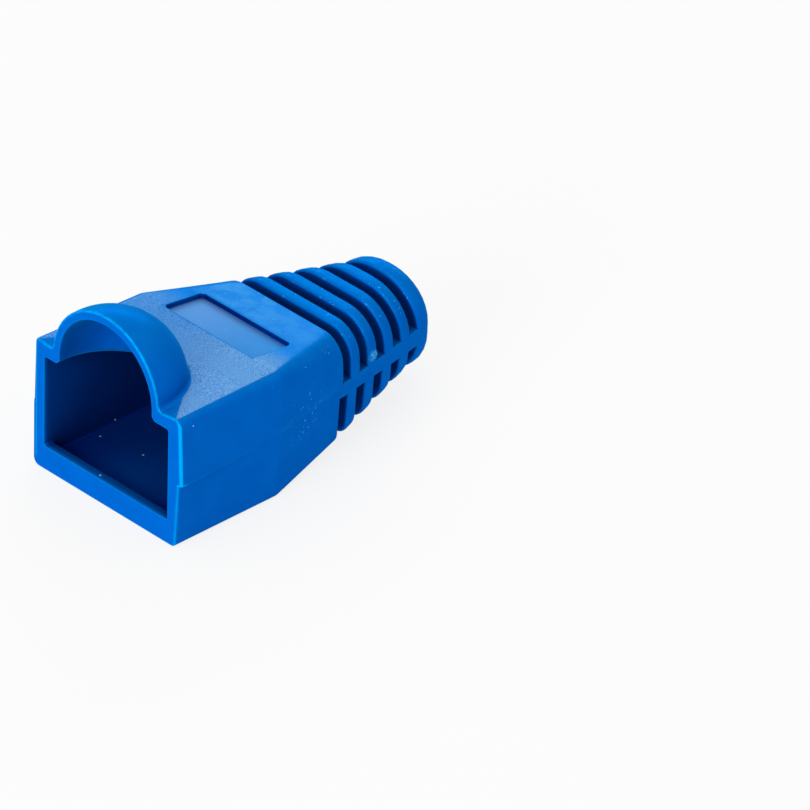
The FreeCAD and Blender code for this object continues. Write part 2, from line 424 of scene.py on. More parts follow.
def side_bridge(side):
    """Strip of the tail's side wall that joins the ribs, with the seam along it."""
    rings = []
    edge = bridge_edge
    for x in np.linspace(body_end_x - bridge_overlap, collar_x + bridge_overlap, 12):
        upper = tail_section(x)[0 if side > 0 else 1]
        lower = tail_section(x)[3 if side > 0 else 2]
        up = bridge_top_z - parting_z
        down = parting_z - bridge_bottom_z
        high_wall = wall_place(upper, up) - bridge_sink
        low_wall = wall_place(lower, down) - bridge_sink
        outline = [(bridge_inner_y, bridge_top_z), (high_wall - edge, bridge_top_z),
                   (high_wall - edge * 0.3, bridge_top_z - edge * 0.3)]
        outline += [(wall_place(upper, rise) - bridge_sink, parting_z + rise)
                    for rise in (up - edge, 0.36, 0.24, 0.14, 0.07, 0.035, 0.012, 0.003)]
        outline += [(wall_place(lower, rise) - bridge_sink, parting_z - rise)
                    for rise in (0.003, 0.012, 0.035, 0.14, 0.30, down - edge)]
        outline += [(low_wall - edge * 0.3, bridge_bottom_z + edge * 0.3),
                    (low_wall - edge, bridge_bottom_z), (bridge_inner_y, bridge_bottom_z)]
        rings.append([(x, side * y, z) for y, z in outline])
    return loft("side_bridge", rings)


# ---- node trees ----

def feed(tree, socket, value):
    """Gives a socket another node's output, a colour or a plain value."""
    if isinstance(value, bpy.types.NodeSocket):
        tree.links.new(value, socket)
    elif socket.type == "RGBA":
        socket.default_value = (*value, 1.0)
    else:
        socket.default_value = value


def node(tree, kind, inputs=None, **settings):
    """New node with its settings, and its inputs by name or number."""
    made = tree.nodes.new(kind)
    for key, value in settings.items():
        setattr(made, key, value)
    for key, value in (inputs or {}).items():
        feed(tree, made.inputs[key], value)
    return made


def in_use(sockets):
    """The sockets that a node's settings leave in use."""
    return [socket for socket in sockets if socket.enabled]


def calc(tree, operation, *values):
    """One step of arithmetic on values or outputs."""
    return node(tree, "ShaderNodeMath", dict(enumerate(values)), operation=operation).outputs[0]


def vector_calc(tree, operation, a, b):
    made = node(tree, "ShaderNodeVectorMath", {0: a, 1: b}, operation=operation)
    return in_use(made.outputs)[0]


def ramp(tree, value, low, high):
    """0 below low, 1 above high, smooth in between; low may be the larger."""
    made = node(tree, "ShaderNodeMapRange", {"Value": value, "From Min": low, "From Max": high},
                interpolation_type="SMOOTHSTEP", clamp=True)
    return made.outputs["Result"]


def share_of(tree, share):
    """The share itself, or a ramp where it is given as (value, low, high)."""
    return ramp(tree, *share) if isinstance(share, tuple) else share


def all_of(tree, *shares):
    """Product of shares."""
    return reduce(lambda a, b: calc(tree, "MULTIPLY", a, share_of(tree, b)), shares[1:],
                  share_of(tree, shares[0]))


def any_of(tree, *shares):
    """The largest of the shares."""
    return reduce(lambda a, b: calc(tree, "MAXIMUM", a, share_of(tree, b)), shares[1:],
                  share_of(tree, shares[0]))


def blend(tree, kind, share, a, b, **settings):
    """Goes from a to b, which are of one kind, as the share goes from 0 to 1."""
    made = node(tree, "ShaderNodeMix", data_type=kind, **settings)
    for socket, value in zip(in_use(made.inputs), (share_of(tree, share), a, b)):
        feed(tree, socket, value)
    return in_use(made.outputs)[0]


def blend_colour(tree, share, a, b):
    return blend(tree, "RGBA", share, a, b)


def blend_value(tree, share, a, b):
    return blend(tree, "FLOAT", share, a, b)


def blend_vector(tree, share, a, b):
    """Blend of two vectors that carries on past its ends."""
    return blend(tree, "VECTOR", share, a, b, clamp_factor=False)


def bare_tree(owner):
    """The node tree of a material or a world, emptied."""
    owner.use_nodes = True
    owner.node_tree.nodes.clear()
    return owner.node_tree


# ---- ribs by Geometry Nodes ----

def stored(tree, name, kind="FLOAT"):
    """An attribute that the mesh carries."""
    return node(tree, "GeometryNodeInputNamedAttribute", {"Name": name}, data_type=kind).outputs[0]


def rib_row_tree(finish):
    """Repeats one rib along the tail and blends its section from the body to the collar."""
    tree = bpy.data.node_groups.new("rib_row", "GeometryNodeTree")
    for name, way, kind in (("Rib", "INPUT", "Geometry"), ("Rib count", "INPUT", "Int"),
                            ("First rib", "INPUT", "Float"), ("Rib spacing", "INPUT", "Float"),
                            ("Tail start", "INPUT", "Float"), ("Tail length", "INPUT", "Float"),
                            ("Ribs", "OUTPUT", "Geometry")):
        tree.interface.new_socket(name, in_out=way, socket_type="NodeSocket" + kind)
    given = node(tree, "NodeGroupInput").outputs
    single = node(tree, "GeometryNodeGeometryToInstance", {0: given["Rib"]})
    copies = node(tree, "GeometryNodeDuplicateElements",
                  {"Geometry": single.outputs[0], "Amount": given["Rib count"]},
                  domain="INSTANCE").outputs
    numbered = node(tree, "GeometryNodeStoreNamedAttribute",
                    {"Geometry": copies["Geometry"], "Name": "rib_number",
                     "Value": copies["Duplicate Index"]}, data_type="FLOAT", domain="INSTANCE")
    real = node(tree, "GeometryNodeRealizeInstances", {0: numbered.outputs["Geometry"]})
    step = calc(tree, "MULTIPLY", stored(tree, "rib_number"), given["Rib spacing"])
    along = calc(tree, "ADD", calc(tree, "ADD", step, given["First rib"]),
                 stored(tree, "rib_local"))
    travelled = calc(tree, "SUBTRACT", along, given["Tail start"])
    share = calc(tree, "DIVIDE", travelled, given["Tail length"])
    full, drawn_in = [blend_vector(tree, share, stored(tree, at_body, "FLOAT_VECTOR"),
                                   stored(tree, at_collar, "FLOAT_VECTOR"))
                      for at_body, at_collar in (("full_at_body", "full_at_collar"),
                                                 ("rim_at_body", "rim_at_collar"))]
    outline = blend_vector(tree, stored(tree, "rim_share"), full, drawn_in)
    parts = node(tree, "ShaderNodeSeparateXYZ", {0: outline}).outputs
    place = node(tree, "ShaderNodeCombineXYZ", {0: along, 1: parts[1], 2: parts[2]})
    move = node(tree, "GeometryNodeSetPosition",
                {"Geometry": real.outputs[0], "Position": place.outputs[0]})
    flat = node(tree, "GeometryNodeRealizeInstances", {0: move.outputs[0]})
    coat = node(tree, "GeometryNodeSetMaterial", {"Geometry": flat.outputs[0], "Material": finish})
    node(tree, "NodeGroupOutput", {0: coat.outputs[0]})
    return tree


def rib_pattern():
    """One rib as a loft whose points carry both end sections and their place in the rim."""
    ends = (body_end_x, collar_x)
    full = [section_ring(x, tail_section) for x in ends]
    drawn = [section_ring(x, lambda _, at=x: tail_section(at), rib_rims, 0.0, 0) for x in ends]
    shares = section_shares()
    stations = [(1 - cos(t), 1 - sin(t), 1) for t in rim_turns(True)]
    stations += [(1 - cos(t), 1 - sin(t), -1) for t in rim_turns(False)]
    points = []
    local = []
    rim_share = []
    for back, shrink, way in stations:
        start = 0.0 if way > 0 else rib_length
        places = [start + way * back * size for size in shares]
        points += [(x, y, z) for x, (_, y, z) in zip(places, full[0])]
        local += places
        rim_share += [shrink] * len(places)
    mesh = bpy.data.meshes.new("rib")
    mesh.from_pydata(points, [], ring_faces(len(shares), len(stations)))
    for name, ring in (("full_at_body", full[0]), ("full_at_collar", full[1]),
                       ("rim_at_body", drawn[0]), ("rim_at_collar", drawn[1])):
        made = mesh.attributes.new(name, "FLOAT_VECTOR", "POINT")
        made.data.foreach_set("vector", np.array(ring * len(stations), dtype=np.float32).ravel())
    for name, values in (("rib_local", local), ("rim_share", rim_share)):
        made = mesh.attributes.new(name, "FLOAT", "POINT")
        made.data.foreach_set("value", np.array(values, dtype=np.float32))
    return in_scene("ribs", mesh)


def section_shares():
    """Rim radius at each point of a ring, going round in the ring's own order."""
    sizes = []
    rows = quarter(5.0, 3.0, 0.0, (1.0, 1.0), plain_seam())
    for index in range(4):
        side_rim, cap_rim = rib_rims[index]
        values = [mix(side_rim, cap_rim, share) for _, _, share in rows]
        sizes += values if index in (0, 2) else values[::-1][1:]
    return sizes


def as_plain_mesh(piece):
    """Bakes the piece's modifiers into its mesh and takes them off."""
    graph = bpy.context.evaluated_depsgraph_get()
    graph.update()
    mesh = bpy.data.meshes.new_from_object(piece.evaluated_get(graph), depsgraph=graph)
    piece.modifiers.clear()
    piece.data = mesh
    return piece


def rib_row(finish):
    """The four ribs between the slots as one plain mesh."""
    piece = rib_pattern()
    row = piece.modifiers.new("rib row", "NODES")
    row.node_group = rib_row_tree(finish)
    values = {"Rib count": slot_count - 1, "First rib": body_end_x + slot_width,
              "Rib spacing": slot_pitch, "Tail start": body_end_x,
              "Tail length": collar_x - body_end_x}
    for socket in row.node_group.interface.items_tree:
        if socket.in_out == "INPUT" and socket.name in values:
            row[socket.identifier] = values[socket.name]
    as_plain_mesh(piece)
    cleaned(piece.data, merge_gap)
    attributes = piece.data.attributes
    for name in [a.name for a in attributes if a.name.startswith(("full_", "rim_", "rib_"))]:
        attributes.remove(attributes[name])
    return piece


# ---- hood ----

def half_turn(steps):
    return [mix(-pi / 2, pi / 2, k / steps) for k in range(steps + 1)]


def nose_solid(name, profile, nose_x, front, angles):
    """Solid with straight sides from the front to nose_x and a half round end.

    profile(bearing, x, inset) gives rows of (radius, height) that end on the ridge."""
    columns = [(x, -pi / 2, inset) for x, inset in front]
    columns += [(nose_x, a, 0.0) for a in angles]
    columns += [(x, pi / 2, inset) for x, inset in reversed(front)]
    grid = [[(x + r * cos(bearing), hood_shift + r * sin(bearing), z)
             for r, z in profile(bearing, x, inset)] for x, bearing, inset in columns]
    height = len(grid[0])
    vertices = [p for column in grid for p in column]
    faces = []
    for c in range(len(grid) - 1):
        for r in range(height - 1):
            faces.append((c * height + r, (c + 1) * height + r,
                          (c + 1) * height + r + 1, c * height + r + 1))
    final = (len(grid) - 1) * height
    faces.append((*range(height), *range(final + height - 2, final - 1, -1)))
    faces.append(tuple(c * height for c in range(len(grid))))
    return new_piece(name, vertices, faces)


def hood_profile(bearing, x, inset):
    """Drop below the top, cove at the foot, then the ball up to the ridge."""
    rear = cos(bearing) ** 1.5 if cos(bearing) > 0 else 0.0
    cove = mix(hood_side_cove, hood_rear_cove, rear) + inset
    radius = hood_radius - inset
    reach = hood_radius + 0.2
    foot_x = x + reach * cos(bearing)
    foot_y = hood_shift + reach * sin(bearing)
    level = top_height(foot_x) - max(side_dish(foot_x, foot_y), 0.0) - 0.004 - inset
    span = radius + cove
    rise = level + cove - hood_axis_z
    centre_r = sqrt(span * span - rise * rise)
    meet = asin(rise / span)
    rows = [(centre_r, pocket_ceiling_z + 0.45), (centre_r, level - 0.02)]
    for k in range(cove_steps + 1):
        a = mix(1.5 * pi, pi + meet, k / cove_steps)
        rows.append((centre_r + cove * cos(a), level + cove + cove * sin(a)))
    for k in range(1, hood_steps + 1):
        a = mix(meet, pi / 2, k / hood_steps)
        rows.append((radius * cos(a), hood_axis_z + radius * sin(a)))
    rows[-1] = (0.0, hood_axis_z + radius)
    return rows


def hood():
    nose_x = hood_length - hood_radius
    front = [(hood_front_edge * (1 - cos(t)), hood_front_edge * (1 - sin(t)))
             for t in rim_turns(True, 5)]
    front.append(((hood_front_edge + nose_x) / 2, 0.0))
    return nose_solid("hood", hood_profile, nose_x, front, half_turn(hood_turn_steps))


def hollow_profile(bearing, x, outset):
    """Flared foot at the pocket's ceiling, short upright neck, then the hollow's ball."""
    radius = hollow_radius + outset
    rows = [(radius + hollow_flare, pocket_ceiling_z - 0.05)]
    for k in range(cove_steps + 1):
        f = k / cove_steps
        rows.append((radius + hollow_flare * (1 - f) ** 1.4,
                     pocket_ceiling_z + hollow_flare * f))
    rows.append((radius, hollow_axis_z))
    for k in range(1, hollow_steps + 1):
        a = pi / 2 * k / hollow_steps
        rows.append((radius * cos(a), hollow_axis_z + radius * sin(a)))
    rows[-1] = (0.0, hollow_axis_z + radius)
    return rows


def mouth_flare():
    """Places and outsets that round the inner edge of an opening at the mouth plane."""
    edge = mouth_inner_edge
    rows = [(-0.5, edge), (0.0, edge)]
    rows += [(edge * (1 - cos(t)), edge * (1 - sin(t))) for t in rim_turns(True, 4)[1:]]
    return rows


def hood_hollow():
    return nose_solid("hood_hollow", hollow_profile, hollow_length - hollow_radius,
                      mouth_flare(), half_turn(hollow_turn_steps))


# ---- hollows ----

def corner_turns(steps):
    """Sides and turn of every point of a rectangle's four rounded corners."""
    for index, (side_a, side_b) in enumerate(((1, 1), (-1, 1), (-1, -1), (1, -1))):
        for k in range(steps + 1):
            yield side_a, side_b, pi / 2 * (index + k / steps)


def rounded_rectangle(x, half_width, bottom, top, radius):
    return [(x, side_y * (half_width - radius) + radius * cos(a),
             (top if side_z > 0 else bottom) - side_z * radius + radius * sin(a))
            for side_y, side_z, a in corner_turns(6)]


def plug_pocket():
    r = pocket_corner_radius
    rings = [rounded_rectangle(x, pocket_half_width + grow, sill_top_z - grow,
                               pocket_ceiling_z + grow, r) for x, grow in mouth_flare()]
    rings += [rounded_rectangle(
        sill_depth - sill_edge_radius * (1 - sin(a)), pocket_half_width,
        sill_top_z - sill_edge_radius * (1 - cos(a)), pocket_ceiling_z, r)
              for a in rim_turns(True, 8)]
    rings += [rounded_rectangle(sill_depth + back, pocket_half_width, pocket_floor_z + rise,
                                pocket_ceiling_z, r) for back, rise in ((0.01, 0.08), (0.09, 0.0))]
    rings += [throat_ring(x) for x in np.linspace(pocket_depth, body_end_x, 5)]
    rings.append(throat_ring(body_end_x + 0.3))
    return loft("plug_pocket", rings)


def tail_cavity():
    """The rest of the inside, through the ribs to the cable hole."""
    rings = [throat_ring(body_end_x - 1.2, 0.012), throat_ring(body_end_x - 0.02, 0.012)]
    rings += [throat_ring(x) for x in np.linspace(body_end_x, collar_x, 7)]
    return loft("tail_cavity", rings)


def throat_ring(x, inset=0.0):
    """Inside section at x: narrows from the pocket to the throat, then to the cable hole."""
    throat = (throat_half_width, throat_floor_z, throat_ceiling_z, throat_corner_radius)
    if x <= body_end_x:
        f = (x - pocket_depth) / (body_end_x - pocket_depth)
        start = (pocket_half_width, pocket_floor_z, pocket_ceiling_z, pocket_corner_radius)
        final = throat
    else:
        f = (x - body_end_x) / (collar_x - body_end_x)
        end = cable_radius + 0.07
        start = throat
        final = (end, cable_axis_z - end, cable_axis_z + end, end - 0.01)
    half_width, bottom, top, radius = [mix(a, b, f) for a, b in zip(start, final)]
    return rounded_rectangle(x, half_width - inset, bottom + inset, top - inset, radius)


def round_ring(x, radius, steps=72):
    return [(x, radius * cos(2 * pi * k / steps),
             cable_axis_z + radius * sin(2 * pi * k / steps)) for k in range(steps)]


def cable_hole():
    edge = cable_edge
    rings = [round_ring(collar_x - 0.6, cable_radius),
             round_ring(boot_length - edge - 0.3, cable_radius)]
    rings += [round_ring(boot_length - edge * (1 - sin(a)),
                         cable_radius + edge * (1 - cos(a))) for a in rim_turns(True, 4)]
    rings.append(round_ring(boot_length + 0.6, cable_radius + edge))
    return loft("cable_hole", rings)


def lower_rim():
    """Wider ring at the hole's rim in the lower mould half."""
    rings = []
    steps = 36
    for x, r in ((boot_length - lower_rim_depth, lower_rim_radius - 0.10),
                 (boot_length - lower_rim_depth + 0.10, lower_rim_radius),
                 (boot_length + 0.6, lower_rim_radius)):
        drop = cable_axis_z - parting_z
        start = asin(-drop / r)
        rings.append([(x, r * cos(a), cable_axis_z + r * sin(a))
                      for a in (mix(start, -pi - start, k / steps) for k in range(steps + 1))])
    return loft("lower_rim", rings)


def label_recess():
    """Cutter for the bare recess, square to the sloping top behind the knee."""
    fall = (knee_top_z - body_end_top_z) / (body_end_x - knee_x)
    angle = atan(fall)
    span = (recess_end_x - recess_start_x) / cos(angle)
    origin = Vector((recess_start_x, 0, knee_top_z + (knee_x - recess_start_x) * fall))
    along = Vector((cos(angle), 0, -sin(angle)))
    up = Vector((sin(angle), 0, cos(angle)))
    levels = [(-recess_depth, -0.06), (-recess_depth + 0.018, -0.018), (-recess_depth + 0.06, 0.0),
              (-recess_edge, 0.0), (-recess_edge * 0.3, recess_edge * 0.3), (0.0, recess_edge),
              (0.05, recess_edge * 2.2), (2.0, recess_edge * 2.2)]
    rings = []
    for height, grow in levels:
        radius = recess_corner_radius + grow * 0.5
        ring = []
        for side_a, side_b, a in corner_turns(5):
            centre_a = span / 2 + side_a * (span / 2 + grow - radius)
            centre_b = side_b * (recess_half_length + grow - radius)
            p = origin + along * (centre_a + radius * cos(a)) + up * height
            ring.append((p.x, centre_b + radius * sin(a), p.z))
        rings.append(ring)
    return loft("label_recess", rings)


# ---- small marks ----

def torn_nub(place, size, seed, roughness):
    """Rough torn lump left by a mould gate."""
    form = bmesh.new()
    bmesh.ops.create_icosphere(form, subdivisions=4, radius=1.0)
    for v in form.verts:
        rough = noise.fractal(v.co * 1.9 + Vector((seed, seed * 0.7, 3.0)), 0.9, 2.2, 4)
        v.co = v.co * (1.0 + roughness * rough)
        v.co = Vector([p + c * s for p, c, s in zip(place, v.co, size)])
    mesh = bpy.data.meshes.new("nub")
    form.to_mesh(mesh)
    form.free()
    return in_scene("nub", mesh)


def combine(target, tool, operation):
    """Exact union or cut of two closed solids; the tool is used up."""
    step = target.modifiers.new("combine", "BOOLEAN")
    step.operation = operation
    step.solver = "EXACT"
    step.object = tool
    as_plain_mesh(target)
    cleaned(target.data, joined_merge_gap, joined_melt_gap, False)
    bpy.data.objects.remove(tool)


# ---- finish ----

# colours in linear red, green and blue; a pair is mottled from one to the other
side_blue = ((0.0, 0.117, 0.550), (0.0, 0.127, 0.580))
# painted sheen: the lighter, more cyan copy of the blue for upward faces
painted_top_sheen_blue = ((0.0, 0.138, 0.535), (0.001, 0.155, 0.565))
# grain flecks, made paler as a painted sheen
grain_and_sheen_blue = ((0.008, 0.125, 0.470), (0.215, 0.435, 0.740))
# painted sheen behind the recess
painted_sheen_blue = (0.065, 0.255, 0.605)
# painted change of sheen round the recess
recess_border_sheen_blue = (0.0, 0.170, 0.560)
# painted sheen on the recess floor
recess_sheen_blue = ((0.060, 0.240, 0.600), (0.120, 0.290, 0.640))
scuff_blue = (0.16, 0.37, 0.72)
# painted highlight on edges
edge_highlight_blue = (0.0, 0.45, 1.0)
# painted shade on the mouth's far rim
far_rim_shade_blue = (0.0, 0.070, 0.400)
# painted shade in the pocket, bluer on its upward faces, and in the tail
pocket_shade = ((0.0, 0.0, 0.135), (0.0, 0.008, 0.215))
tail_shade = (0.0, 0.003, 0.130)
torn_blue = ((0.0, 0.14, 0.62), (0.06, 0.42, 0.78))
speck_blue = (0.10, 0.42, 0.88)
dust_white = (0.75, 0.85, 0.95)

grain_size = 16.0             # waves to the millimetre
grain_border_length = 1.92    # the grain's border runs straight from the hood's foot
grain_border_turn = 1.72      # strips' widths in from the side, where it turns square
grain_border_swing = 0.18
# painted highlights on thin edges reach this far
edge_highlight_reach = 0.00018     # metres, for the pale edges
# painted shade in the hollows reaches this far
hollow_reach = 0.009          # metres, for the deep colour of the hollows


def cloud(tree, at, scale, detail=3.0, rough=0.55, stretch=None):
    """Noise in lengths of a millimetre, which may be turned and stretched."""
    place = at.place
    if stretch:
        turn, grow = stretch
        place = node(tree, "ShaderNodeMapping",
                     {"Vector": place, "Rotation": turn, "Scale": grow}).outputs[0]
    return node(tree, "ShaderNodeTexNoise", {"Vector": place, "Scale": scale, "Detail": detail,
                                             "Roughness": rough}).outputs["Fac"]


def near_point(tree, at, point, outer, inner):
    """1 within inner millimetres of a point, 0 beyond outer."""
    return ramp(tree, vector_calc(tree, "DISTANCE", at.place, point), outer, inner)


def facing(tree, at, way, low, high):
    """0 to 1 as the surface turns to face a direction."""
    return ramp(tree, vector_calc(tree, "DOT_PRODUCT", at.normal, way), low, high)


def surface_place(tree):
    """Where the surface lies, in millimetres from the mouth plane, and how it faces."""
    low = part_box("boot")[0]
    where = node(tree, "ShaderNodeTexCoord").outputs
    shifted = vector_calc(tree, "SUBTRACT", where["Object"], (low.x, 0.0, low.z))
    place = node(tree, "ShaderNodeVectorMath", {0: shifted, "Scale": 1000.0},
                 operation="SCALE").outputs[0]
    x, y, z = node(tree, "ShaderNodeSeparateXYZ", {0: place}).outputs
    up = node(tree, "ShaderNodeSeparateXYZ", {0: where["Normal"]}).outputs[2]
    return SimpleNamespace(place=place, normal=where["Normal"], x=x, y=y, z=z, up=up,
                           side=calc(tree, "ABSOLUTE", y))


def top_zones(tree, at):
    """Shares of the flat top: around the recess, the recess, its border and the grain, whose
    strength also carries a painted sheen.
    """
    top = all_of(tree, (at.up, 0.955, 0.992), (at.z, 8.2, 8.4), (at.z, 10.05, 9.95),
                 (at.x, 15.75, 15.6))
    recess = all_of(tree, (at.x, recess_start_x - 0.02, recess_start_x + 0.02),
                    (at.x, recess_end_x + 0.03, recess_end_x - 0.01),
                    (at.side, recess_half_length + 0.02, recess_half_length - 0.02), top)
    around = all_of(tree, top, calc(tree, "SUBTRACT", 1.0, recess))
    off_recess = any_of(tree, calc(tree, "SUBTRACT", recess_start_x, at.x),
                        calc(tree, "SUBTRACT", at.x, recess_end_x),
                        calc(tree, "SUBTRACT", at.side, recess_half_length))
    border = all_of(tree, (off_recess, 0.20, 0.08), around)
    # the grain has a ragged border and leaves smooth triangles beside the hood
    wander = node(tree, "ShaderNodeTexNoise", {"Vector": at.place, "Scale": 3.5, "Detail": 3.0})
    centred = vector_calc(tree, "SUBTRACT", wander.outputs["Color"], (0.5, 0.5, 0.5))
    swing = node(tree, "ShaderNodeVectorMath", {0: centred, "Scale": grain_border_swing},
                 operation="SCALE").outputs[0]
    ragged = vector_calc(tree, "ADD", at.place, swing)
    x, y = node(tree, "ShaderNodeSeparateXYZ", {0: ragged}).outputs[:2]
    inwards = calc(tree, "SUBTRACT", side_dish_outer, calc(tree, "ABSOLUTE", y))
    across = calc(tree, "DIVIDE", inwards, side_dish_outer - side_dish_inner)
    beyond = calc(tree, "SUBTRACT", calc(tree, "DIVIDE", x, grain_border_length),
                  calc(tree, "MINIMUM", across, grain_border_turn))
    # the grain fades towards the rear and the far side, following a painted sheen
    grain = all_of(tree, around, (beyond, -0.04, 0.08), (x, 0.10, 0.25),
                   blend_value(tree, (at.x, 9.0, 12.0), 1.0, 0.12),
                   blend_value(tree, (at.y, -3.5, 3.5), 1.0, 0.62))
    return SimpleNamespace(around=around, recess=recess, border=border, grain=grain,
                           pits=cloud(tree, at, grain_size, 3.0, 0.7))


def body_colour(tree, at, zones):
    """The plain blue with a painted sheen on upward faces, the grain with pale flecks that also
    paint a sheen, a cloudy painted sheen behind the recess, painted sheen round the recess and on
    its floor, and the recess's scuffs.
    """
    mottle = ramp(tree, cloud(tree, at, 0.55, 2.0, 0.5), 0.3, 0.7)
    # painted sheen: upward faces get a lighter, more cyan copy of the plain blue, sides keep the
    # plain blue
    colour = blend_colour(tree, (at.up, 0.45, 0.95), blend_colour(tree, mottle, *side_blue),
                          blend_colour(tree, mottle, *painted_top_sheen_blue))
    # pale flecks: partly the grain, partly a painted sheen
    flecks = blend_colour(tree, (zones.pits, 0.36, 0.60), *grain_and_sheen_blue)
    colour = blend_colour(tree, zones.grain, colour, flecks)
    # cloudy painted sheen on the top behind the recess
    drift = (cloud(tree, at, 0.8, 3.0, 0.6), 0.35, 0.65)
    behind = all_of(tree, zones.around, (at.x, 11.8, 13.0), blend_value(tree, drift, 0.25, 0.85),
                    blend_value(tree, (at.y, -4.0, 3.0), 0.55, 1.0))
    colour = blend_colour(tree, behind, colour, painted_sheen_blue)
    # painted sheen: a smooth cyan band round the recess in place of the grain
    colour = blend_colour(tree, all_of(tree, zones.border, 0.7), colour, recess_border_sheen_blue)
    # painted sheen on the recess floor, paler towards the +Y side
    tone = blend_colour(tree, (at.y, -3.5, 3.5), *recess_sheen_blue)
    colour = blend_colour(tree, zones.recess, colour, tone)
    scratch = cloud(tree, at, 1.0, 4.0, 0.6, ((0.0, 0.0, 0.5), (7.0, 0.8, 2.0)))
    scuffs = all_of(tree, (scratch, 0.60, 0.72), zones.recess, 0.4)
    return blend_colour(tree, scuffs, colour, scuff_blue)


def add_painted_edge_light_and_shade(tree, at, colour):
    """Painted highlights on thin edges, most by the mouth, and painted shade on the mouth's far
    rim, which turns from the light.
    """
    thin = node(tree, "ShaderNodeAmbientOcclusion", {"Distance": edge_highlight_reach},
                samples=6, inside=True, only_local=True)
    from_hood_axis = vector_calc(tree, "DISTANCE",
                                 vector_calc(tree, "MULTIPLY", at.place, (0.0, 1.0, 1.0)),
                                 (0.0, hood_shift, hood_axis_z))
    on_hood = all_of(tree, (from_hood_axis, 4.80, 4.90), (at.z, 9.0, 9.2))
    by_mouth = all_of(tree, (at.x, 0.7, 0.4), any_of(tree, on_hood, (at.side, 6.35, 6.5)))
    # a cloud breaks the painted edge highlights into patches
    highlight_breakup = (cloud(tree, at, 2.2, 3.0, 0.6), 0.30, 0.62)
    edges = all_of(tree, (thin.outputs["AO"], 0.96, 0.66),
                   blend_value(tree, by_mouth, 0.16, 1.0), blend_value(tree, highlight_breakup, 0.45, 1.0))
    # painted highlight on the near rim of the mouth
    near_rim_highlight = all_of(tree, facing(tree, at, (-0.707, -0.707, 0.0), 0.84, 0.97),
                      (at.x, 0.42, 0.32), (at.y, -6.5, -6.7),
                      blend_value(tree, (at.z, 4.7, 4.9), 0.40, 1.0), 0.75)
    # painted highlight: a thin light line on the mouth's far rim
    far_line_highlight = all_of(tree, (at.y, 6.64, 6.69), (at.y, 6.78, 6.73),
                      (at.x, 0.05, 0.03), (at.z, 0.4, 0.9), 0.5)
    # painted shade on the far rim, which turns from the light
    far_rim_shade = all_of(tree, facing(tree, at, (-0.707, 0.707, 0.0), 0.73, 0.93),
                     (at.x, 0.50, 0.42), (at.y, 6.6, 6.8), 0.8)
    colour = blend_colour(tree, far_rim_shade, colour, far_rim_shade_blue)
    return blend_colour(tree, any_of(tree, edges, near_rim_highlight, far_line_highlight), colour, edge_highlight_blue)


def add_hollow_shade(tree, at, colour):
    """Painted shade in the hollows and slots, from ambient occlusion, bluer on the pocket's upward
    faces.
    """
    shelter = node(tree, "ShaderNodeAmbientOcclusion", {"Distance": hollow_reach},
                   samples=8, only_local=True)
    hidden = shelter.outputs["AO"]
    past_depth = calc(tree, "MAXIMUM", calc(tree, "SUBTRACT", at.x, pocket_depth), 0.0)
    narrowing = (pocket_half_width - throat_half_width) / (body_end_x - pocket_depth)
    spread = calc(tree, "ADD", at.side, calc(tree, "MULTIPLY", past_depth, narrowing))
    in_pocket = all_of(tree, (at.x, 0.05, 0.40),
                       (spread, pocket_half_width + 0.08, pocket_half_width + 0.05),
                       (at.z, 8.72, 8.68), (at.z, 0.8, 0.85),
                       (at.x, body_end_x, body_end_x - 0.2))
    in_tail = (at.x, body_end_x - 0.3, body_end_x)
    # painted shade where occlusion is strong, and partly over the whole pocket
    painted_shade = any_of(tree, (hidden, 0.80, 0.36), all_of(tree, (hidden, 1.0, 0.50), in_pocket),
                  all_of(tree, in_pocket, 0.6))
    painted_shade = all_of(tree, painted_shade, blend_value(tree, in_tail, 0.97, 0.72))
    # painted shade tone, bluer on upward faces in the pocket
    tone = blend_colour(tree, (at.up, 0.3, 0.8), *pocket_shade)
    return blend_colour(tree, painted_shade, colour, blend_colour(tree, in_tail, tone, tail_shade))


def add_marks(tree, at, colour):
    """Torn skin of the gate nubs, specks on the near side and the tail, and white dust."""
    torn = (cloud(tree, at, 6.0, 3.0, 0.7), 0.40, 0.62)
    nub_colour = blend_colour(tree, torn, *torn_blue)
    for nub in gate_nubs:
        colour = blend_colour(tree, near_point(tree, at, nub, 0.50, 0.36), colour, nub_colour)
    dust = cloud(tree, at, 5.2, 1.0, 0.5)
    side_specks = all_of(tree, (dust, 0.68, 0.72),
                         near_point(tree, at, (11.8, -6.8, 5.2), 2.8, 1.4),
                         (at.up, 0.3, 0.2), (at.y, -5.8, -6.0))
    tail_specks = all_of(tree, (at.up, 0.1, 0.5), (at.x, 5.6, 8.0), (at.z, 6.5, 7.0),
                         (dust, 0.72, 0.76))
    specks = all_of(tree, any_of(tree, tail_specks, side_specks), 0.7)
    colour = blend_colour(tree, specks, colour, speck_blue)
    for spot in white_dust:
        colour = blend_colour(tree, near_point(tree, at, spot, 0.085, 0.05), colour, dust_white)
    return colour


def relief(tree, at, zones):
    """Slow waves, a fine skin, and pits where the top is grained; distances in metres."""
    waves = node(tree, "ShaderNodeBump", {"Strength": 0.35, "Distance": 0.00003,
                                          "Height": cloud(tree, at, 0.9, 2.0, 0.5)})
    skin = node(tree, "ShaderNodeBump", {"Strength": 0.25, "Distance": 0.000006,
                                         "Height": cloud(tree, at, 7.0, 3.0, 0.6),
                                         "Normal": waves.outputs[0]})
    pitted = node(tree, "ShaderNodeBump", {"Strength": all_of(tree, zones.grain, 0.8),
                                           "Distance": 0.00003, "Height": zones.pits,
                                           "Normal": skin.outputs[0]})
    return pitted.outputs[0]


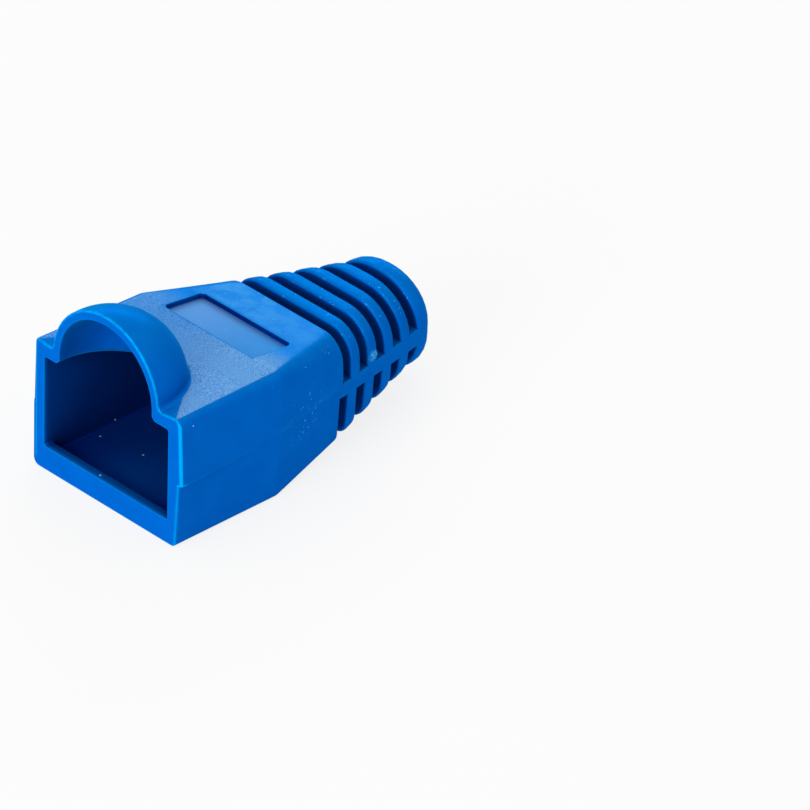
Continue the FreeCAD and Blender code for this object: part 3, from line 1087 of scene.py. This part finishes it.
def moulded_plastic():
    """Blue moulded plastic: satin, grained on the top of the body, smoother in the recess."""
    finish = bpy.data.materials.new("blue_moulded_plastic")
    tree = bare_tree(finish)
    at = surface_place(tree)
    zones = top_zones(tree, at)
    colour = body_colour(tree, at, zones)
    for add in (add_painted_edge_light_and_shade, add_hollow_shade, add_marks):
        colour = add(tree, at, colour)
    rough = blend_value(tree, zones.recess, blend_value(tree, zones.grain, 0.38, 0.55), 0.50)
    plastic = node(tree, "ShaderNodeBsdfPrincipled",
                   {"Base Color": colour, "Roughness": rough, "Normal": relief(tree, at, zones),
                    "IOR": 1.12, "Specular IOR Level": 0.0, "Specular Tint": (0.05, 0.6, 1.0),
                    "Metallic": 0.25, "Sheen Weight": 0.2, "Sheen Roughness": 0.4,
                    "Sheen Tint": (0.02, 0.75, 1.0)})
    node(tree, "ShaderNodeOutputMaterial", {"Surface": plastic.outputs[0]})
    return finish


# ---- the boot ----

def dressed_boot():
    finish = moulded_plastic()
    piece = box_body()
    combine(piece, hood(), "UNION")
    for part in (plug_pocket(), hood_hollow(), label_recess()):
        combine(piece, part, "DIFFERENCE")
    for part in (rib_row(finish), collar(), side_bridge(1), side_bridge(-1)):
        combine(piece, part, "UNION")
    for number, nub in enumerate(gate_nubs):
        seed = 3.1 + 2.7 * number
        combine(piece, torn_nub(nub, gate_nub_size, seed, gate_nub_roughness), "UNION")
    combine(piece, torn_nub(flash_bump, flash_bump_size, 9.4, flash_bump_roughness), "UNION")
    for part in (tail_cavity(), cable_hole(), lower_rim()):
        combine(piece, part, "DIFFERENCE")
    mesh = piece.data
    print("boot faces", len(mesh.polygons), "open or doubled edges",
          cleaned(mesh, joined_merge_gap, joined_melt_gap, False))
    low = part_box("boot")[0]
    mesh.transform(Matrix.Translation((low.x, 0, low.z)) @ Matrix.Scale(0.001, 4))
    mesh.materials.clear()
    mesh.materials.append(finish)
    for face in mesh.polygons:
        face.material_index = 0
    mesh.shade_smooth()
    mesh.set_sharp_from_angle(angle=radians(32))
    piece.name = mesh.name = "strain_relief_boot"
    even = piece.modifiers.new("even shading", "WEIGHTED_NORMAL")
    even.keep_sharp = True
    even.weight = 60
    return as_plain_mesh(piece)


boot = dressed_boot()
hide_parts("boot")
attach(boot, "root")


# ---- stage, light and camera ----

def seen_directly(tree):
    """1 for rays from the camera and those mirrored or let through, 0 for the light's own."""
    path = node(tree, "ShaderNodeLightPath").outputs
    return any_of(tree, path["Is Camera Ray"], path["Is Glossy Ray"], path["Is Transmission Ray"])


def pale_floor():
    """White paper, which keeps the boot's soft shadow."""
    reach = 3.0
    mesh = bpy.data.meshes.new("floor")
    mesh.from_pydata([(-reach, -reach, 0), (reach, -reach, 0), (reach, reach, 0),
                      (-reach, reach, 0)], [], [(0, 1, 2, 3)])
    floor = in_scene("floor", mesh)
    paper = bpy.data.materials.new("white_paper_floor")
    tree = bare_tree(paper)
    matt = node(tree, "ShaderNodeBsdfDiffuse", {"Color": (0.86, 0.86, 0.86)})
    white = node(tree, "ShaderNodeEmission")
    both = node(tree, "ShaderNodeMixShader", {0: all_of(tree, seen_directly(tree), 0.82),
                                              1: matt.outputs[0], 2: white.outputs[0]})
    node(tree, "ShaderNodeOutputMaterial", {"Surface": both.outputs[0]})
    mesh.materials.append(paper)


def studio_surround():
    """Even white room, pure white where it is seen."""
    world = bpy.data.worlds.new("studio")
    tree = bare_tree(world)
    room = node(tree, "ShaderNodeBackground", {"Color": (1, 1, 1), "Strength": 0.55})
    white = node(tree, "ShaderNodeBackground", {"Color": (1, 1, 1), "Strength": 1.0})
    both = node(tree, "ShaderNodeMixShader",
                {0: seen_directly(tree), 1: room.outputs[0], 2: white.outputs[0]})
    node(tree, "ShaderNodeOutputWorld", {"Surface": both.outputs[0]})
    bpy.context.scene.world = world


def soft_lamp(name, place, width, height, power):
    """Softbox that faces the boot."""
    lamp = bpy.data.lights.new(name, "AREA")
    lamp.shape = "RECTANGLE"
    lamp.size = width
    lamp.size_y = height
    lamp.energy = power
    holder = in_scene(name, lamp)
    holder.location = place
    way = Vector((0.0, 0.0, 0.005)) - Vector(place)
    holder.rotation_euler = way.to_track_quat("-Z", "Y").to_euler()


def studio():
    pale_floor()
    studio_surround()
    soft_lamp("back softbox", (0.40, 0.36, 0.20), 0.36, 0.20, 0.85)
    soft_lamp("overhead softbox", (-0.05, 0.05, 0.55), 0.40, 0.40, 0.70)
    soft_lamp("mouth fill", (-0.55, -0.10, 0.18), 0.30, 0.30, 2.25)


def camera():
    lens = bpy.data.cameras.new("camera")
    lens.lens = 416.71
    lens.sensor_width = 36.0
    lens.clip_start = 0.01
    lens.clip_end = 10.0
    holder = in_scene("camera", lens)
    place = (-0.359208, -0.378387, 0.332745)
    right = Vector((0.7223846, -0.6910510, 0.0246797))
    down = Vector((-0.3546672, -0.4009147, -0.8446766))
    forward = Vector((0.5936090, 0.6014283, -0.5347077))
    turn = Matrix((right, -down, -forward)).transposed()
    holder.matrix_world = Matrix.Translation(place) @ turn.to_4x4()
    bpy.context.scene.camera = holder


studio()
camera()
bpy.context.scene.view_settings.view_transform = "Standard"
